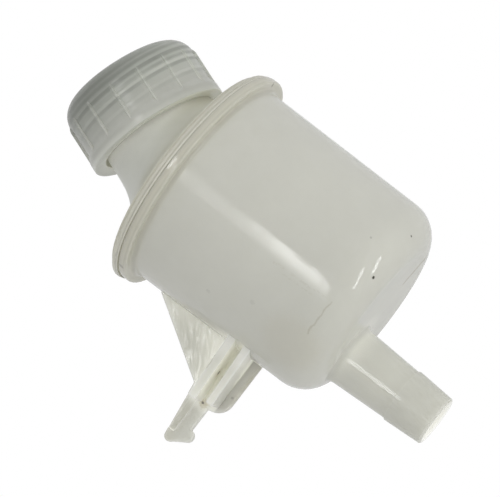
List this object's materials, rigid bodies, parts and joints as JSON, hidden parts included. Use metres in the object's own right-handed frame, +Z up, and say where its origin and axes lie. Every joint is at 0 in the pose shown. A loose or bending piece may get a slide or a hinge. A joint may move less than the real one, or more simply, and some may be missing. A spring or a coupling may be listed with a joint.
{
  "type": "brake fluid reservoir",
  "caption": "Translucent plastic fluid reservoir: round cup with a barbed hose outlet, a slide-on snap bracket, a welded lid with a slanted filler neck, and a ribbed screw cap.",
  "frame": {"origin": "middle of the bracket's slot, halfway along, across and into it, where the vehicle's bracket blade holds the part", "axes": "+Z up along the cup's axis towards the filler cap, +X from the bracket towards the cup, -Y out of the slot's open side"},
  "size_m": [0.1057, 0.0752, 0.1471],
  "materials": {
    "milky_shell": "translucent milky polypropylene, satin to glossy, lightly soiled",
    "aged_shell": "translucent polypropylene, slightly yellowed at the weld",
    "clear_cap": "translucent natural plastic, thinner and clearer than the shells",
    "black_rubber": "matt black rubber"
  },
  "bodies": {
    "reservoir": {"lower_shell": "milky_shell", "upper_shell": "aged_shell"},
    "gasket": {"cap_gasket": "black_rubber"},
    "cap": {"screw_cap": "clear_cap"}
  },
  "joints": [
    {"name": "cap_rise", "type": "slide", "parent": "reservoir", "child": "gasket", "axis": [0.3325, -0.0556, 0.9415], "range_m": [0, 0.0076]},
    {"name": "cap_turn", "type": "hinge", "parent": "gasket", "child": "cap", "pos_m": [0.042, 0.0068, 0.0518], "axis": [0.3325, -0.0556, 0.9415], "range_deg": [0, 900]}
  ],
  "couplings": [
    {"joint": "cap_rise", "follows": "cap_turn", "m_per_rad": 0.00047746}
  ]
}
